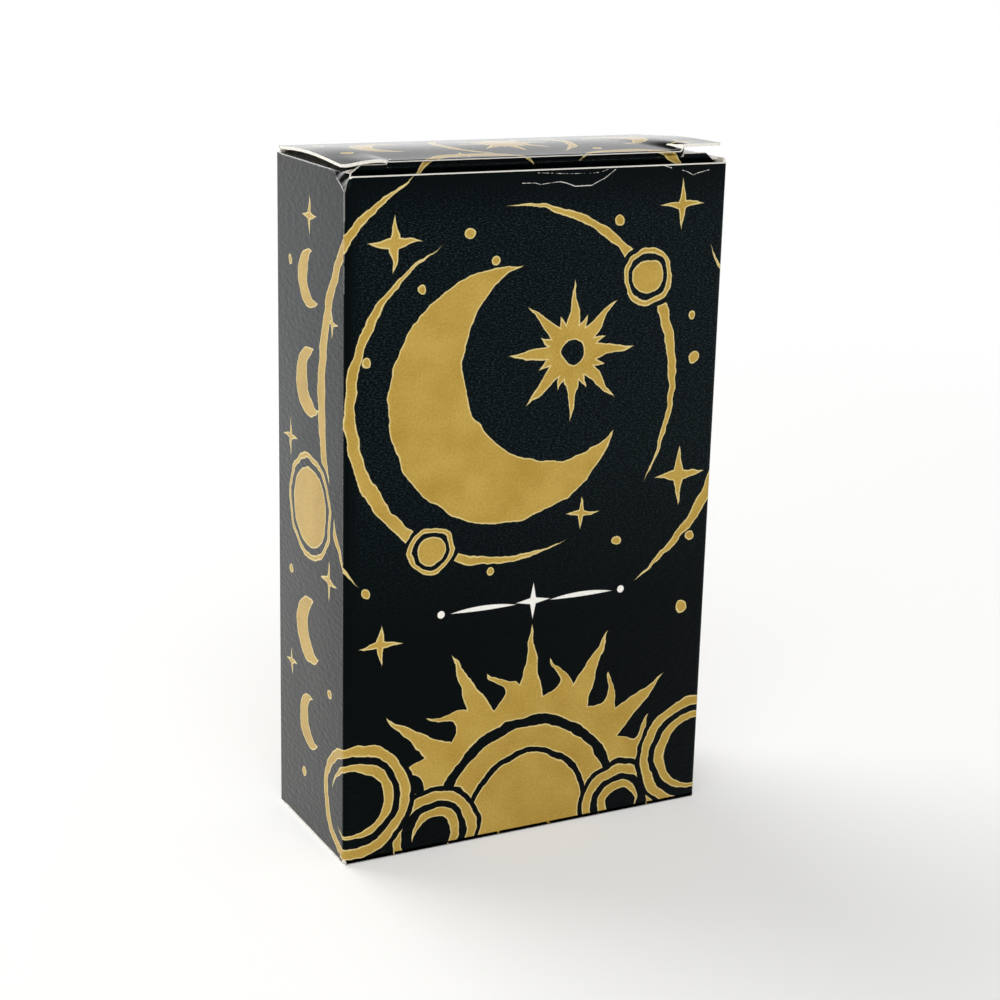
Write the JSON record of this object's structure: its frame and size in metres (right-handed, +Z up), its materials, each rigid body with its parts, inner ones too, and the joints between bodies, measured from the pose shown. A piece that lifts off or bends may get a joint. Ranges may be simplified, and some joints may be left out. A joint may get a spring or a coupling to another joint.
{
  "type": "boxed tarot card deck",
  "caption": "Tall tuck-end carton of gloss black board with gold print, with hinged lid and bottom, tuck and dust flaps, holding a full deck of tarot cards.",
  "frame": {"origin": "middle of the carton's foot, where it stands", "axes": "+Z up along the cards' height, -Y out of the front panel, +X to the right of the front panel"},
  "size_m": [0.074, 0.0308, 0.125],
  "materials": {
    "printed_carton_board": "gloss laminated black print with gold ornament, white board inside",
    "bare_carton_board": "uncoated white carton board",
    "card_stock": "satin coated card stock with a printed face and back"
  },
  "bodies": {
    "sleeve": {"front_panel": "printed_carton_board", "back_panel": "printed_carton_board", "left_side_panel": "printed_carton_board", "right_side_panel": "printed_carton_board", "glue_flap": "bare_carton_board"},
    "lid": {"lid_panel": "printed_carton_board"},
    "lid_tuck": {"lid_tuck_flap": "printed_carton_board"},
    "top_left_dust": {"top_left_dust_flap": "printed_carton_board"},
    "top_right_dust": {"top_right_dust_flap": "printed_carton_board"},
    "bottom": {"bottom_panel": "printed_carton_board"},
    "bottom_tuck": {"bottom_tuck_flap": "printed_carton_board"},
    "bottom_left_dust": {"bottom_left_dust_flap": "printed_carton_board"},
    "bottom_right_dust": {"bottom_right_dust_flap": "printed_carton_board"},
    "deck": {"major_arcana_00": "card_stock", "major_arcana_01": "card_stock", "major_arcana_02": "card_stock", "major_arcana_03": "card_stock", "major_arcana_04": "card_stock", "major_arcana_05": "card_stock", "major_arcana_06": "card_stock", "major_arcana_07": "card_stock", "major_arcana_08": "card_stock", "major_arcana_09": "card_stock", "major_arcana_10": "card_stock", "major_arcana_11": "card_stock", "major_arcana_12": "card_stock", "major_arcana_13": "card_stock", "major_arcana_14": "card_stock", "major_arcana_15": "card_stock", "major_arcana_16": "card_stock", "major_arcana_17": "card_stock", "major_arcana_18": "card_stock", "major_arcana_19": "card_stock", "major_arcana_20": "card_stock", "major_arcana_21": "card_stock", "wands_ace_to_ten": "card_stock", "wands_page": "card_stock", "wands_knight": "card_stock", "wands_queen": "card_stock", "wands_king": "card_stock", "cups_ace_to_ten": "card_stock", "cups_page": "card_stock", "cups_knight": "card_stock", "cups_queen": "card_stock", "cups_king": "card_stock", "swords_ace_to_ten": "card_stock", "swords_page": "card_stock", "swords_knight": "card_stock", "swords_queen": "card_stock", "swords_king": "card_stock", "pentacles_ace_to_ten": "card_stock", "pentacles_page": "card_stock", "pentacles_knight": "card_stock", "pentacles_queen": "card_stock", "pentacles_king": "card_stock"}
  },
  "joints": [
    {"name": "lid_hinge", "type": "hinge", "parent": "sleeve", "child": "lid", "pos_m": [0, 0.01539, 0.12504], "axis": [-1, 0, 0], "range_deg": [0, 165]},
    {"name": "lid_tuck_crease", "type": "hinge", "parent": "lid", "child": "lid_tuck", "pos_m": [0, -0.01399, 0.12504], "axis": [-1, 0, 0], "range_deg": [0, 24.75]},
    {"name": "top_left_dust_crease", "type": "hinge", "parent": "sleeve", "child": "top_left_dust", "pos_m": [-0.037, 0, 0.12394], "axis": [0, -1, 0], "range_deg": [0, 74.25]},
    {"name": "top_right_dust_crease", "type": "hinge", "parent": "sleeve", "child": "top_right_dust", "pos_m": [0.037, 0, 0.12394], "axis": [0, 1, 0], "range_deg": [0, 74.25]},
    {"name": "bottom_hinge", "type": "hinge", "parent": "sleeve", "child": "bottom", "pos_m": [0, -0.01539, 0], "axis": [-1, 0, 0], "range_deg": [0, 165]},
    {"name": "bottom_tuck_crease", "type": "hinge", "parent": "bottom", "child": "bottom_tuck", "pos_m": [0, 0.01399, 0], "axis": [-1, 0, 0], "range_deg": [0, 24.75]},
    {"name": "bottom_left_dust_crease", "type": "hinge", "parent": "sleeve", "child": "bottom_left_dust", "pos_m": [-0.037, 0, 0.0006], "axis": [0, 1, 0], "range_deg": [0, 74.25]},
    {"name": "bottom_right_dust_crease", "type": "hinge", "parent": "sleeve", "child": "bottom_right_dust", "pos_m": [0.037, 0, 0.0006], "axis": [0, -1, 0], "range_deg": [0, 74.25]},
    {"name": "deck_slide", "type": "slide", "parent": "sleeve", "child": "deck", "axis": [0, 0, 1], "range_m": [0, 0.002]}
  ],
  "couplings": [
    {"joint": "lid_tuck_crease", "follows": "lid_hinge", "ratio": 0.15},
    {"joint": "top_left_dust_crease", "follows": "lid_hinge", "ratio": 0.45},
    {"joint": "top_right_dust_crease", "follows": "lid_hinge", "ratio": 0.45},
    {"joint": "bottom_tuck_crease", "follows": "bottom_hinge", "ratio": 0.15},
    {"joint": "bottom_left_dust_crease", "follows": "bottom_hinge", "ratio": 0.45},
    {"joint": "bottom_right_dust_crease", "follows": "bottom_hinge", "ratio": 0.45}
  ]
}
